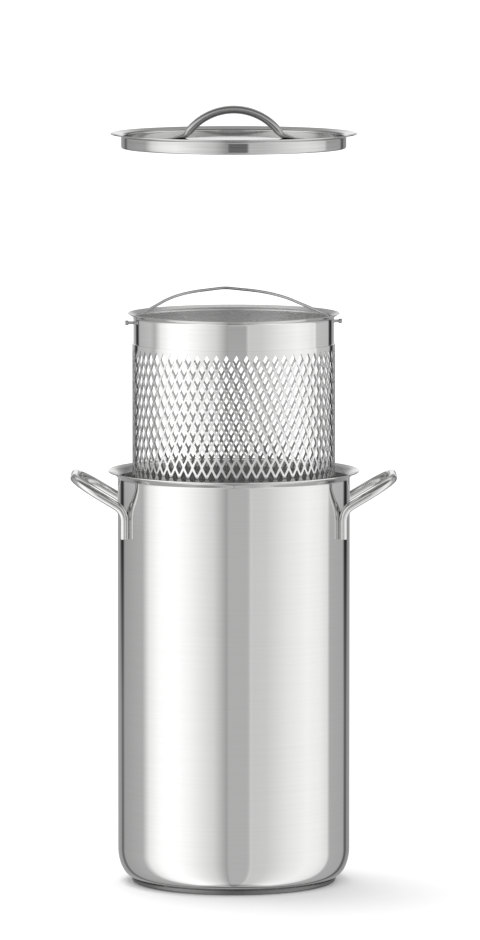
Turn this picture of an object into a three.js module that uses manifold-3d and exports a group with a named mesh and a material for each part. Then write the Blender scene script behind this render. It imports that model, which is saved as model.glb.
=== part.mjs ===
// Asparagus pot: a tall steel pot on a capsule base, a drop-in lid and a perforated basket with a bail.
// Millimetres, +Z up. The origin is the middle of the base's underside.
// The lid and the basket are lifted out along the pot's axis, and the bail leans back.
import * as THREE from 'three';
import { mergeGeometries, mergeVertices } from 'three/addons/utils/BufferGeometryUtils.js';
import Module from 'manifold-3d';

const wasm = await Module();
wasm.setup();

const degrees = THREE.MathUtils.degToRad;

// Pot
const POT_DIAMETER = 160; // outside of the straight wall
const POT_HEIGHT = 285.2; // worktop to the top of the lip
const POT_SHEET = 0.8;
const POT_CORNER = 11; // outside radius between the wall and the floor
const LIP_REACH = 6.7; // the flared lip past the wall
const LIP_SLOPE = degrees(30);
const LIP_BEND = 3;

// Capsule base: an aluminium disc in a steel cup under the pot's floor
const BASE_INSET = 9.5; // the cup's side in from the pot's wall
const CORE_THICKNESS = 2.8;
const CAP_SHEET = 0.6;
const CAP_CORNER = 1.5;

// Side handles: one bent rod each
const HANDLE_ROD = 6;
const HANDLE_REACH = 29.3; // wall to the middle of the crossbar
const HANDLE_WIDTH = 66.8; // leg to leg
const HANDLE_TILT = degrees(33);
const HANDLE_DROP = 2.6; // middle of the crossbar below the lip
const HANDLE_BEND = 12; // between a leg and its foot
const HANDLE_CORNER = 15; // between a leg and the crossbar
const FOOT_LENGTH = 19.5; // the stretch that lies on the wall
const FOOT_STANDOFF = 2; // wall to the middle of the rod there

// Lid
const LID_SHEET = 0.8;
const LID_INSET = 1.9; // edge of the lid in from the edge of the lip
const SKIRT_GAP = 1.9; // skirt to the inside of the pot
const LID_DEPTH = 9.3; // edge of the flange to the underside
const FLANGE_RISE = 1.3;
const FLANGE_BEND = 2;
const LID_CORNER = 1.2;
const LID_DOME = 6;

// Lid handle: an arched rod on two flattened tongues
const GRIP_ROD = 5.6;
const GRIP_HALF_SPAN = 35;
const GRIP_RISE = 20.8; // lid's floor to the middle of the rod
const GRIP_LEG_ANGLE = degrees(50);
const TONGUE_LENGTH = 14;
const TONGUE_WIDTH = 9;
const TONGUE_ROOT = 2.7; // thickness beside the rod
const TONGUE_TIP = 1.5;

// Basket
const BASKET_SHEET = 0.8;
const BASKET_GAP = 6.4; // edge of the basket to the inside of the pot
const BASKET_LIP = 3.8;
const BASKET_LIP_SLOPE = degrees(30);
const BASKET_LIP_BEND = 2;
const BASKET_BULGE = 0.8; // the perforated wall past the plain band
const BAND_HEIGHT = 20.5; // edge of the basket down to the bulge
const BULGE_HEIGHT = 5;
const HOLE_COLUMNS = 20;
const HOLE_SLIMNESS = 1.75; // height of a diamond over its width
const STRAND = 3.6; // steel left between two diamonds
const WALL_FOOT = 11; // plain strip under the lowest diamonds
const FLOOR_FLANGE = 9;
const FLOOR_BEND = 3;
const FLOOR_HOLE = 8;
const FLOOR_PITCH = 20;

// Bail: one bent wire through two holes in the band
const BAIL_WIRE = 2;
const BAIL_RISE = 60.5; // pivots to the middle of the wire at the top
const BAIL_KNEE = 10.6; // pivots up to the knees
const BAIL_SHOULDER = 34; // middle to each shoulder
const BAIL_ROOF = 9.7; // shoulders up to the top
const BAIL_BEND = 2.5; // at the pivots
const KNEE_BEND = 15;
const SHOULDER_BEND = 57;
const POINT_BEND = 14;
const BAIL_STUB = 6; // wire that stands out past the band
const BAIL_HEAD = 3.2;
const BAIL_HEAD_LENGTH = 2;
const PIVOT_DROP = 6.2; // edge of the basket to the pivots
const PIVOT_PLAY = 0.4;

// Fits and the lifted pose
const SEAT_GAP = 0.3; // between pieces that rest on each other
const BAIL_HEADROOM = 16.5; // seated basket's edge to the lid
const BASKET_LIFT = 134.9;
const BASKET_TURN = degrees(6.3);
const LID_LIFT = 232;
const BAIL_LEAN = degrees(71.5);

// Fineness of the facets
const ROUND_SIDES = 48;
const BASKET_SIDES = 2 * HOLE_COLUMNS;
const ROD_SIDES = 12;
const WIRE_SIDES = 8;
const HOLE_SIDES = 8;
const BEND_SAG = 0.2; // most that a facet may cut off a bend
const DOME_STEPS = 3;
const WELD = 1e-3;

const potRadius = POT_DIAMETER / 2;
const potInside = potRadius - POT_SHEET;
const potFloor = CAP_SHEET + CORE_THICKNESS;
const lipEdge = potRadius + LIP_REACH;
const lidEdge = lipEdge - LID_INSET;
const skirtRadius = potInside - SKIRT_GAP;
const lipTopAtLid = POT_HEIGHT - (lipEdge - POT_SHEET * Math.sin(LIP_SLOPE) - lidEdge) * Math.tan(LIP_SLOPE);
const lidSeat = lipTopAtLid + SEAT_GAP;
const basketEdge = potInside - BASKET_GAP;
const bandRadius = basketEdge - BASKET_LIP;
const wallRadius = bandRadius + BASKET_BULGE;
const basketSeat = potFloor + POT_SHEET + SEAT_GAP;
const basketHeight = lidSeat - LID_DEPTH - BAIL_HEADROOM - basketSeat;

const polishedSteel = new THREE.MeshStandardMaterial({ color: 0xd6d6d4, roughness: 0.22, metalness: 1 });
const brushedSteel = new THREE.MeshStandardMaterial({ color: 0xc4c4c2, roughness: 0.34, metalness: 1 });
const darkSteel = new THREE.MeshStandardMaterial({ color: 0x8e8e8d, roughness: 0.3, metalness: 1 });
const bareAluminium = new THREE.MeshStandardMaterial({ color: 0xa9abad, roughness: 0.5, metalness: 1 });

// A corner of a path, with the radius that it is bent to
function corner(place, bend = 0) {
  return { place: new THREE.Vector3(...place), bend };
}

// The points of a path whose corners are bent to arcs
function bentPath(corners) {
  const points = [];
  corners.forEach(({ place, bend }, index) => {
    const before = corners[index - 1];
    const after = corners[index + 1];
    if (!before || !after || bend === 0) {
      points.push(place.clone());
      return;
    }
    const arriving = place.clone().sub(before.place).normalize();
    const leaving = after.place.clone().sub(place).normalize();
    const turn = arriving.angleTo(leaving);
    const axis = arriving.clone().cross(leaving).normalize();
    const toCentre = leaving.clone().sub(arriving).normalize();
    const centre = place.clone().addScaledVector(toCentre, bend / Math.cos(turn / 2));
    const start = place.clone().addScaledVector(arriving, -bend * Math.tan(turn / 2)).sub(centre);
    const steps = Math.ceil(turn / (2 * Math.acos(1 - BEND_SAG / bend)));
    for (let step = 0; step <= steps; step += 1) {
      points.push(start.clone().applyAxisAngle(axis, (turn * step) / steps).add(centre));
    }
  });
  return points;
}

// A flat path moved to its left by a sheet's thickness
function offsetPath(points, distance) {
  const normals = points.slice(1).map((point, index) => {
    const along = point.clone().sub(points[index]).normalize();
    return new THREE.Vector3(-along.y, along.x, 0);
  });
  return points.map((point, index) => {
    const first = normals[Math.max(index - 1, 0)];
    const second = normals[Math.min(index, normals.length - 1)];
    const mitre = first.clone().add(second).normalize();
    const moved = point.clone().addScaledVector(mitre, distance / mitre.dot(first));
    return point.x === 0 ? moved.setX(0) : moved;
  });
}

// The outline of pressed sheet, from the path of its outer face as radius and height
function sheetOutline(corners, thickness) {
  const outer = bentPath(corners);
  const inner = offsetPath(outer, thickness).reverse();
  const outline = [...outer, ...inner];
  return outer[0].x === 0 ? outline : [...outline, outer[0]];
}

// A piece turned about the Z axis
function turned(outline, sides = ROUND_SIDES) {
  const profile = outline.map((point) => new THREE.Vector2(point.x, point.y));
  return solid(new THREE.LatheGeometry(profile, sides).rotateX(Math.PI / 2));
}

function turnedPlug(radius, low, high) {
  const ends = [[0, low], [radius, low], [radius, high], [0, high]];
  return turned(ends.map(([across, height]) => new THREE.Vector3(across, height, 0)));
}

// A curve that steps from bend point to bend point of a rod
class RodPath extends THREE.Curve {
  constructor(points) {
    super();
    this.points = points;
  }

  getPointAt(share) {
    return this.points[Math.round(share * (this.points.length - 1))].clone();
  }

  getTangentAt(share) {
    const index = Math.round(share * (this.points.length - 1));
    const before = this.points[Math.max(index - 1, 0)];
    const after = this.points[Math.min(index + 1, this.points.length - 1)];
    return after.clone().sub(before).normalize();
  }
}

function roundSection(diameter, sides) {
  const points = [];
  for (let side = 0; side < sides; side += 1) {
    const angle = (2 * Math.PI * side) / sides;
    points.push(new THREE.Vector2(Math.cos(angle), Math.sin(angle)).multiplyScalar(diameter / 2));
  }
  return new THREE.Shape(points);
}

// A bent rod or wire with flat ends
function rod(corners, diameter, sides) {
  const path = new RodPath(bentPath(corners));
  const options = { steps: path.points.length - 1, extrudePath: path, bevelEnabled: false };
  return solid(new THREE.ExtrudeGeometry(roundSection(diameter, sides), options));
}

// The radius at the top of an arch with straight legs
function archBend(halfSpan, rise, legAngle) {
  return (halfSpan * Math.tan(legAngle) - rise) / (1 / Math.cos(legAngle) - 1);
}

// A closed solid from a geometry, with shared vertices merged
function solid(geometry) {
  const bare = new THREE.BufferGeometry();
  bare.setAttribute('position', geometry.getAttribute('position'));
  bare.setIndex(geometry.getIndex());
  const merged = mergeVertices(bare, WELD);
  const corners = merged.getIndex().array;
  const triVerts = [];
  for (let index = 0; index < corners.length; index += 3) {
    const [a, b, c] = corners.slice(index, index + 3);
    if (a !== b && b !== c && c !== a) triVerts.push(a, b, c);
  }
  const vertProperties = merged.getAttribute('position').array;
  return new wasm.Manifold(new wasm.Mesh({ numProp: 3, vertProperties, triVerts: Uint32Array.from(triVerts) }));
}

function piece(name, body, material) {
  const { vertProperties, triVerts } = body.getMesh();
  const geometry = new THREE.BufferGeometry();
  geometry.setAttribute('position', new THREE.BufferAttribute(vertProperties, 3));
  geometry.setIndex(new THREE.BufferAttribute(triVerts, 1));
  const mesh = new THREE.Mesh(geometry, material);
  mesh.name = name;
  return mesh;
}

// Drawn pot with a rounded bottom corner and a flared lip
function potShell() {
  const lipRise = LIP_REACH * Math.tan(LIP_SLOPE);
  const lipUnderside = POT_HEIGHT - POT_SHEET * Math.cos(LIP_SLOPE);
  const outline = sheetOutline([
    corner([0, potFloor, 0]),
    corner([potRadius, potFloor, 0], POT_CORNER),
    corner([potRadius, lipUnderside - lipRise, 0], LIP_BEND),
    corner([lipEdge, lipUnderside, 0]),
  ], POT_SHEET);
  return piece('pot_shell', turned(outline), brushedSteel);
}

// Steel cup that holds the core against the pot's floor
function baseCap() {
  const capRadius = potRadius - BASE_INSET;
  const pastFlat = Math.max(0, capRadius - CAP_SHEET - (potRadius - POT_CORNER));
  const cornerRise = POT_CORNER - Math.sqrt(POT_CORNER ** 2 - pastFlat ** 2);
  const outline = sheetOutline([
    corner([0, 0, 0]),
    corner([capRadius, 0, 0], CAP_CORNER),
    corner([capRadius, potFloor + cornerRise - SEAT_GAP, 0]),
  ], CAP_SHEET);
  return piece('base_cap', turned(outline), darkSteel);
}

function baseCore() {
  const coreRadius = potRadius - BASE_INSET - CAP_CORNER - SEAT_GAP;
  return piece('base_core', turnedPlug(coreRadius, CAP_SHEET, potFloor), bareAluminium);
}

// Rod bent to a squared loop, with two feet trimmed to the wall
function sideHandle(name, side) {
  const halfWidth = HANDLE_WIDTH / 2;
  const barReach = potRadius + HANDLE_REACH;
  const barHeight = POT_HEIGHT - HANDLE_DROP;
  const footReach = Math.sqrt((potRadius + FOOT_STANDOFF) ** 2 - halfWidth ** 2);
  const elbowHeight = barHeight - (barReach - footReach) * Math.tan(HANDLE_TILT);
  const leg = (across) => [
    corner([side * footReach, across, elbowHeight - FOOT_LENGTH]),
    corner([side * footReach, across, elbowHeight], HANDLE_BEND),
    corner([side * barReach, across, barHeight], HANDLE_CORNER),
  ];
  const loop = rod([...leg(-halfWidth), ...leg(halfWidth).reverse()], HANDLE_ROD, ROD_SIDES);
  const wall = turnedPlug(potRadius + SEAT_GAP, 0, POT_HEIGHT);
  return piece(name, loop.subtract(wall), polishedSteel);
}

// Height of the lid's domed underside at a radius, from the edge of its flange
function domeHeight(radius) {
  const domeRadius = skirtRadius - LID_CORNER;
  return LID_DOME * (1 - (radius / domeRadius) ** 2) - LID_DEPTH;
}

// Pressed lid: a shallow dish with a dome, a skirt and a seating flange
function lidDish() {
  const dome = [];
  for (let step = 0; step < DOME_STEPS; step += 1) {
    const radius = ((skirtRadius - LID_CORNER) * step) / DOME_STEPS;
    dome.push(corner([radius, domeHeight(radius), 0]));
  }
  const outline = sheetOutline([
    ...dome,
    corner([skirtRadius, -LID_DEPTH, 0], LID_CORNER),
    corner([skirtRadius, -FLANGE_RISE, 0], FLANGE_BEND),
    corner([lidEdge, 0, 0]),
  ], LID_SHEET);
  return piece('lid_dish', turned(outline), polishedSteel);
}

// Arched rod with flattened ends, trimmed to the lid's floor
function lidHandle() {
  const floorAt = (radius) => domeHeight(radius) + LID_SHEET + SEAT_GAP;
  const springing = floorAt(GRIP_HALF_SPAN);
  const run = (springing + LID_DEPTH) / Math.tan(GRIP_LEG_ANGLE);
  const apex = springing + GRIP_HALF_SPAN * Math.tan(GRIP_LEG_ANGLE);
  const bend = archBend(GRIP_HALF_SPAN, GRIP_RISE, GRIP_LEG_ANGLE);
  const arch = rod([
    corner([-GRIP_HALF_SPAN - run, 0, -LID_DEPTH]),
    corner([0, 0, apex], bend),
    corner([GRIP_HALF_SPAN + run, 0, -LID_DEPTH]),
  ], GRIP_ROD, ROD_SIDES);
  const tongueEnd = GRIP_HALF_SPAN + TONGUE_LENGTH;
  const tongueSide = new THREE.Shape([
    new THREE.Vector2(-tongueEnd, -LID_DEPTH),
    new THREE.Vector2(-GRIP_HALF_SPAN, -LID_DEPTH),
    new THREE.Vector2(-GRIP_HALF_SPAN, springing + TONGUE_ROOT),
    new THREE.Vector2(-tongueEnd, floorAt(tongueEnd) + TONGUE_TIP),
  ]);
  const tongue = new THREE.ExtrudeGeometry(tongueSide, { depth: TONGUE_WIDTH, bevelEnabled: false });
  tongue.translate(0, 0, -TONGUE_WIDTH / 2).rotateX(Math.PI / 2);
  const left = solid(tongue);
  const right = solid(tongue.clone().rotateZ(Math.PI));
  const below = -LID_DEPTH - GRIP_ROD;
  const floor = [new THREE.Vector3(0, below, 0), new THREE.Vector3(lidEdge, below, 0)];
  for (let step = DOME_STEPS; step >= 0; step -= 1) {
    const radius = ((skirtRadius - LID_CORNER) * step) / DOME_STEPS;
    floor.push(new THREE.Vector3(radius, floorAt(radius), 0));
  }
  return piece('lid_handle', arch.add(left).add(right).subtract(turned(floor)), darkSteel);
}

// Diamond cutters in staggered rows round the basket's wall
function diamondCutters() {
  const pitch = (2 * Math.PI) / HOLE_COLUMNS;
  const halfAngle = Math.atan(HOLE_SLIMNESS);
  const width = pitch * wallRadius - STRAND / Math.sin(halfAngle);
  const height = width * HOLE_SLIMNESS;
  const rowStep = (pitch * wallRadius * HOLE_SLIMNESS) / 2;
  const top = basketHeight - BAND_HEIGHT - BULGE_HEIGHT - height / 2;
  const rows = Math.floor((top - WALL_FOOT - height / 2) / rowStep) + 1;
  const depth = 4 * BASKET_SHEET;
  const diamond = new THREE.Shape([
    new THREE.Vector2(width / 2, 0),
    new THREE.Vector2(0, height / 2),
    new THREE.Vector2(-width / 2, 0),
    new THREE.Vector2(0, -height / 2),
  ]);
  const cutter = new THREE.ExtrudeGeometry(diamond, { depth, bevelEnabled: false });
  const cutters = [];
  for (let row = 0; row < rows; row += 1) {
    for (let column = 0; column < HOLE_COLUMNS; column += 1) {
      const angle = (column + (row % 2) / 2) * pitch;
      const outwards = new THREE.Vector3(Math.cos(angle), Math.sin(angle), 0);
      const along = new THREE.Vector3(-Math.sin(angle), Math.cos(angle), 0);
      const place = outwards.clone().multiplyScalar(wallRadius - (BASKET_SHEET + depth) / 2);
      place.z = top - row * rowStep;
      const frame = new THREE.Matrix4().makeBasis(along, new THREE.Vector3(0, 0, 1), outwards);
      cutters.push(cutter.clone().applyMatrix4(frame.setPosition(place)));
    }
  }
  return solid(mergeGeometries(cutters));
}

// Rolled wall with a plain band, a flared edge, diamond perforations and two pivot holes
function basketWall() {
  const lipUnderside = basketHeight - BASKET_SHEET * Math.cos(BASKET_LIP_SLOPE);
  const lipRise = BASKET_LIP * Math.tan(BASKET_LIP_SLOPE);
  const bulgeTop = basketHeight - BAND_HEIGHT;
  const outline = sheetOutline([
    corner([wallRadius, 0, 0]),
    corner([wallRadius, bulgeTop - BULGE_HEIGHT, 0]),
    corner([bandRadius, bulgeTop, 0]),
    corner([bandRadius, lipUnderside - lipRise, 0], BASKET_LIP_BEND),
    corner([basketEdge, lipUnderside, 0]),
  ], BASKET_SHEET);
  const holes = rod([
    corner([-basketEdge, 0, basketHeight - PIVOT_DROP]),
    corner([basketEdge, 0, basketHeight - PIVOT_DROP]),
  ], BAIL_WIRE + 2 * PIVOT_PLAY, ROD_SIDES);
  const wall = turned(outline, BASKET_SIDES).subtract(diamondCutters()).subtract(holes);
  return piece('basket_wall', wall, brushedSteel);
}

// Floor disc with an upturned flange inside the wall and rings of drain holes
function basketFloor() {
  const floorRadius = wallRadius - BASKET_SHEET - SEAT_GAP;
  const dish = turned(sheetOutline([
    corner([0, 0, 0]),
    corner([floorRadius, 0, 0], FLOOR_BEND),
    corner([floorRadius, FLOOR_FLANGE, 0]),
  ], BASKET_SHEET), BASKET_SIDES);
  const section = roundSection(FLOOR_HOLE, HOLE_SIDES);
  const drill = new THREE.ExtrudeGeometry(section, { depth: 4 * BASKET_SHEET, bevelEnabled: false });
  drill.translate(0, 0, -2 * BASKET_SHEET);
  const rings = Math.floor((floorRadius - FLOOR_BEND - FLOOR_HOLE) / FLOOR_PITCH);
  const drills = [drill];
  for (let ring = 1; ring <= rings; ring += 1) {
    const count = 6 * ring;
    for (let index = 0; index < count; index += 1) {
      const angle = (2 * Math.PI * index) / count;
      const reach = ring * FLOOR_PITCH;
      drills.push(drill.clone().translate(reach * Math.cos(angle), reach * Math.sin(angle), 0));
    }
  }
  return piece('basket_floor', dish.subtract(solid(mergeGeometries(drills))), brushedSteel);
}

// Wire bail about its pivots: headed stubs, upright feet, slanting legs and a low roof with a blunt point
function basketBail() {
  const halfSpan = bandRadius - BASKET_SHEET - BAIL_WIRE;
  const stubEnd = bandRadius + BAIL_STUB;
  const wire = rod([
    corner([-stubEnd, 0, 0]),
    corner([-halfSpan, 0, 0], BAIL_BEND),
    corner([-halfSpan, 0, BAIL_KNEE], KNEE_BEND),
    corner([-BAIL_SHOULDER, 0, BAIL_RISE - BAIL_ROOF], SHOULDER_BEND),
    corner([0, 0, BAIL_RISE], POINT_BEND),
    corner([BAIL_SHOULDER, 0, BAIL_RISE - BAIL_ROOF], SHOULDER_BEND),
    corner([halfSpan, 0, BAIL_KNEE], KNEE_BEND),
    corner([halfSpan, 0, 0], BAIL_BEND),
    corner([stubEnd, 0, 0]),
  ], BAIL_WIRE, WIRE_SIDES);
  const head = (side) => rod([
    corner([side * stubEnd, 0, 0]),
    corner([side * (stubEnd - BAIL_HEAD_LENGTH), 0, 0]),
  ], BAIL_HEAD, WIRE_SIDES);
  return piece('basket_bail', wire.add(head(-1)).add(head(1)), darkSteel);
}

const bail = new THREE.Group();
bail.position.z = basketHeight - PIVOT_DROP;
bail.rotation.x = -BAIL_LEAN;
bail.add(basketBail());

const basket = new THREE.Group();
basket.position.z = basketSeat + BASKET_LIFT;
basket.rotation.z = BASKET_TURN;
basket.add(basketWall(), basketFloor(), bail);

const lid = new THREE.Group();
lid.position.z = lidSeat + LID_LIFT;
lid.add(lidDish(), lidHandle());

const asparagusPot = new THREE.Group();
asparagusPot.name = 'asparagus_pot';
asparagusPot.add(potShell(), baseCore(), baseCap());
asparagusPot.add(sideHandle('side_handle_left', -1), sideHandle('side_handle_right', 1));
asparagusPot.add(basket, lid);

export default asparagusPot;
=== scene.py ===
# %% [markdown]
# A tall steel pot with a lid and a lift-out basket
#
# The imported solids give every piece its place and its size. This script dresses them: it builds a
# finer piece for each solid that shows, gives it a steel finish, and sets up the floor, the light
# and the camera. All lengths are in metres, with +Z up and the origin under the middle of the base.

# %% Load the frame
import math

import bmesh
import bpy
from mathutils import Matrix, Vector


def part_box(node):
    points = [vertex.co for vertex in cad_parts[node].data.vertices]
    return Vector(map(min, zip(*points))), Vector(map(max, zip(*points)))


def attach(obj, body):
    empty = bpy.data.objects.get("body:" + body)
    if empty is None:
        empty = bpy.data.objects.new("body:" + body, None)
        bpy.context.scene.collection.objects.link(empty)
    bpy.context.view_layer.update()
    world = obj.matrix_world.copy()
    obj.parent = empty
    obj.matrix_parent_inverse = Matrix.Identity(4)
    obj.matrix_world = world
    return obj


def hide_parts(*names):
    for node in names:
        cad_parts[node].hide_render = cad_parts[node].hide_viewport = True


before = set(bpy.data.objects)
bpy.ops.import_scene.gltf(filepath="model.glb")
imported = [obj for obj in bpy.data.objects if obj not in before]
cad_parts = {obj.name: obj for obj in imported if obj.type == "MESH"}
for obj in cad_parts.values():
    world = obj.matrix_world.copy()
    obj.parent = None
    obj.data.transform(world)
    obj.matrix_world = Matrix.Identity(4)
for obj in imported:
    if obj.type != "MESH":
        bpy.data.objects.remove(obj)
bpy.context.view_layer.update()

scene = bpy.context.scene
MM = 0.001

# %% [markdown]
# Nodes, the way this file writes them
#
# Materials, the studio light and the repeating parts are all made of nodes. Written out one
# property at a time they take many lines, so one helper adds a node, sets its properties and fills
# its inputs. An input gets either a plain value or the output of an earlier node, and then a link
# is made.

# %% A helper that adds a node


def add(tree, kind, inputs=None, **settings):
    """Add a node to a tree, set its properties, and fill its inputs with values or links."""
    node = tree.nodes.new(kind)
    for name, value in settings.items():
        setattr(node, name, value)
    for name, value in (inputs or {}).items():
        if isinstance(value, bpy.types.NodeSocket):
            tree.links.new(value, node.inputs[name])
        else:
            node.inputs[name].default_value = value
    return node


def calculate(tree, operation, *values):
    """A Math node on numbers or outputs."""
    return add(tree, "ShaderNodeMath", dict(enumerate(values)), operation=operation).outputs[0]


def calculate_vector(tree, operation, *values):
    """A Vector Math node on vectors or outputs."""
    return add(tree, "ShaderNodeVectorMath", dict(enumerate(values)), operation=operation).outputs


def between(tree, value, low, high):
    """How far a value has come from low to high, from zero to one."""
    limits = {"Value": value, "From Min": low, "From Max": high}
    return add(tree, "ShaderNodeMapRange", limits).outputs["Result"]


def mixed(tree, share, first, second):
    """A number on the way from a first to a second one."""
    return calculate(tree, "MULTIPLY_ADD", share, calculate(tree, "SUBTRACT", second, first), first)


# %% [markdown]
# Brushed steel
#
# The pot, the lid and the basket are brushed while they turn, so the fine scratches run round them.
# On a wall such lines differ with height, and on a floor with the distance from the middle. The sum
# of height and distance therefore works on every turned face. A noise that is squeezed along that
# sum and drawn out sideways gives the lines. They drive a very small bump, and a coarser copy makes
# the gloss and the tone uneven. The insides of such pieces are polished less than the outsides.
# Their meshes carry an attribute, inside, that grows to one there. With it the finish turns rougher
# and scatters part of the light, and its tone is darkened there. That darkening is painted shade
# for the hollow of the pot, the basket and the lid's dish.

# %% The finish of the turned pieces
LINES_PER_METRE = 3600
STREAKS_PER_METRE = 700
DRAWN_OUT = 14
GRAIN_DETAIL = 2
GRAIN_SPAN = 0.3, 0.7
WARMTH = 0.995


def noise(tree, place, scale):
    """Noise of a given fineness."""
    inputs = {"Vector": place, "Scale": scale, "Detail": GRAIN_DETAIL}
    return add(tree, "ShaderNodeTexNoise", inputs).outputs["Fac"]


def turned_grain(tree, per_metre):
    """Noise in lines that run round the pot's axis."""
    place = add(tree, "ShaderNodeTexCoord").outputs["Object"]
    sideways = calculate_vector(tree, "MULTIPLY", place, (1, 1, 0))["Vector"]
    reach = calculate_vector(tree, "LENGTH", sideways)["Value"]
    height = add(tree, "ShaderNodeSeparateXYZ", {"Vector": place}).outputs["Z"]
    across = calculate(tree, "MULTIPLY", calculate(tree, "ADD", reach, height), per_metre)
    drawn = calculate_vector(tree, "MULTIPLY", sideways, (DRAWN_OUT, DRAWN_OUT, 0))["Vector"]
    upright = add(tree, "ShaderNodeCombineXYZ", {"Z": across}).outputs[0]
    return noise(tree, calculate_vector(tree, "ADD", drawn, upright)["Vector"], 1)


def tone_between(tree, grain, dark, light):
    """A grey that follows the grain from a dark to a light tone."""
    ramp = add(tree, "ShaderNodeValToRGB", {"Fac": grain})
    for element, tone, place in zip(ramp.color_ramp.elements, (dark, light), GRAIN_SPAN):
        element.color = (tone, tone, tone * WARMTH, 1)
        element.position = place
    return ramp.outputs["Color"]


def steel(name, grain_of, dark, light, gloss, line_depth, inside=None):
    """Metal whose tone, roughness and bump come from a grain. gloss is its lowest and highest roughness.
    inside has the roughness, the share of the tone and the share of metal on the inside of the piece.
    The darker share of the tone is painted shade."""
    material = bpy.data.materials.new(name)
    material.use_nodes = True
    tree = material.node_tree
    shader = tree.nodes["Principled BSDF"]
    shader.inputs["Metallic"].default_value = 1
    streaks = grain_of(tree, STREAKS_PER_METRE)
    tone = tone_between(tree, streaks, dark, light)
    rough = mixed(tree, streaks, *gloss)
    if inside:
        share = add(tree, "ShaderNodeAttribute", attribute_name="inside").outputs["Fac"]
        rough = mixed(tree, share, rough, inside["rough"])
        tree.links.new(mixed(tree, share, 1.0, inside["metal"]), shader.inputs["Metallic"])
        # A darker tone on the inside is painted shade in the piece's hollow.
        value = mixed(tree, share, 1.0, inside["tone"])
        tone = add(tree, "ShaderNodeHueSaturation", {"Color": tone, "Value": value}).outputs["Color"]
    tree.links.new(tone, shader.inputs["Base Color"])
    tree.links.new(rough, shader.inputs["Roughness"])
    lines = grain_of(tree, LINES_PER_METRE)
    bump = add(tree, "ShaderNodeBump", {"Height": lines, "Strength": 1, "Distance": line_depth})
    tree.links.new(bump.outputs["Normal"], shader.inputs["Normal"])
    return material


# The tone given for each inside darkens that hollow with painted shade.
pot_steel = steel("pot_steel", turned_grain, dark=0.69, light=0.71, gloss=(0.03, 0.05),
                  line_depth=0.0003 * MM, inside=dict(rough=0.38, tone=0.74, metal=0.7))
lid_steel = steel("lid_steel", turned_grain, dark=0.52, light=0.60, gloss=(0.05, 0.10),
                  line_depth=0.002 * MM, inside=dict(rough=0.10, tone=0.95, metal=1))
basket_steel = steel("basket_steel", turned_grain, dark=0.69, light=0.72, gloss=(0.03, 0.06),
                     line_depth=0.0005 * MM, inside=dict(rough=0.2, tone=0.8, metal=0.7))
# The base cup is dull steel. Its dark tone is partly painted shade: it stands for the shaded floor round
# the base that the cup mirrors.
base_steel = steel("base_steel", turned_grain, dark=0.14, light=0.20, gloss=(0.22, 0.36),
                   line_depth=0.008 * MM)
print("turned finishes:", pot_steel.name, lid_steel.name, basket_steel.name, base_steel.name)

# %% [markdown]
# Rod and wire
#
# The handles and the bail are drawn rod. They are tumbled or polished rather than brushed, so their
# grain has no direction: a plain noise, fine enough to read as a soft sheen. The lid's handle and
# the bail are left duller. The core of the base is bare aluminium. It is hidden, but it still gets
# a finish of its own.

# %% The finish of rods, wire and the hidden core


def even_grain(tree, per_metre):
    """Noise with no direction, for rod, wire and cast metal."""
    place = add(tree, "ShaderNodeTexCoord").outputs["Object"]
    return noise(tree, place, per_metre)


handle_steel = steel("handle_steel", even_grain, dark=0.66, light=0.70, gloss=(0.06, 0.10),
                     line_depth=0.0003 * MM)
grip_steel = steel("grip_steel", even_grain, dark=0.54, light=0.58, gloss=(0.12, 0.16),
                   line_depth=0.0005 * MM)
wire_steel = steel("wire_steel", even_grain, dark=0.48, light=0.52, gloss=(0.30, 0.36),
                   line_depth=0.0005 * MM)
core_aluminium = steel("core_aluminium", even_grain, dark=0.58, light=0.68, gloss=(0.35, 0.5),
                       line_depth=0.01 * MM)
print("rod finishes:", handle_steel.name, grip_steel.name, wire_steel.name, core_aluminium.name)

# %% [markdown]
# Pressed sheet, turned round an axis
#
# The pot, its base, the lid and the basket's edge are round and made of thin sheet. Such a piece is
# drawn as a path of its outer face, in radius and height. The corners are bent to arcs, the inner
# face is the same path moved over by the sheet's thickness, and the free edge is trimmed, upright
# on a flange, and slightly rounded. Then the outline is turned about the axis. Blender's Spin or
# Screw would turn it too, but a short loop gives clean poles and outward faces at once. A guard
# point beside each arc keeps the smooth shading of the flat parts flat.

# %% Paths and outlines
ARC_STEP = math.radians(8)
GUARD = 0.3 * MM
EDGE_STEPS = 6
EDGE_BULGE = 0.35
POLISHED_EDGE = 12 * MM


def turn_by(vector, angle):
    """A flat vector turned anticlockwise."""
    return Matrix.Rotation(angle, 2) @ vector


def rounded(corners):
    """Points of a path through corners of radius, height and bend."""
    places = [Vector(corner[:2]) for corner in corners]
    points = []
    for index, place in enumerate(places):
        bend = corners[index][2] if len(corners[index]) > 2 else 0
        if not bend:
            points.append(place)
            continue
        arriving = (place - places[index - 1]).normalized()
        leaving = (places[index + 1] - place).normalized()
        turn = math.atan2(arriving.cross(leaving), arriving.dot(leaving))
        start = place - arriving * bend * math.tan(abs(turn) / 2)
        centre = start + turn_by(arriving, math.copysign(math.pi / 2, turn)) * bend
        steps = math.ceil(abs(turn) / ARC_STEP)
        arc = [centre + turn_by(start - centre, turn * step / steps) for step in range(steps + 1)]
        points += [start - arriving * GUARD, *arc, arc[-1] + leaving * GUARD]
    return points


def beside(points, distance):
    """The same path moved to its left."""
    normals = []
    for first, second in zip(points, points[1:]):
        normals.append(turn_by((second - first).normalized(), math.pi / 2))
    moved = []
    for index, point in enumerate(points):
        before = normals[max(index - 1, 0)]
        mitre = (before + normals[min(index, len(normals) - 1)]).normalized()
        over = point + mitre * distance / mitre.dot(before)
        moved.append(Vector((0, over.y)) if point.x == 0 else over)
    return moved


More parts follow.
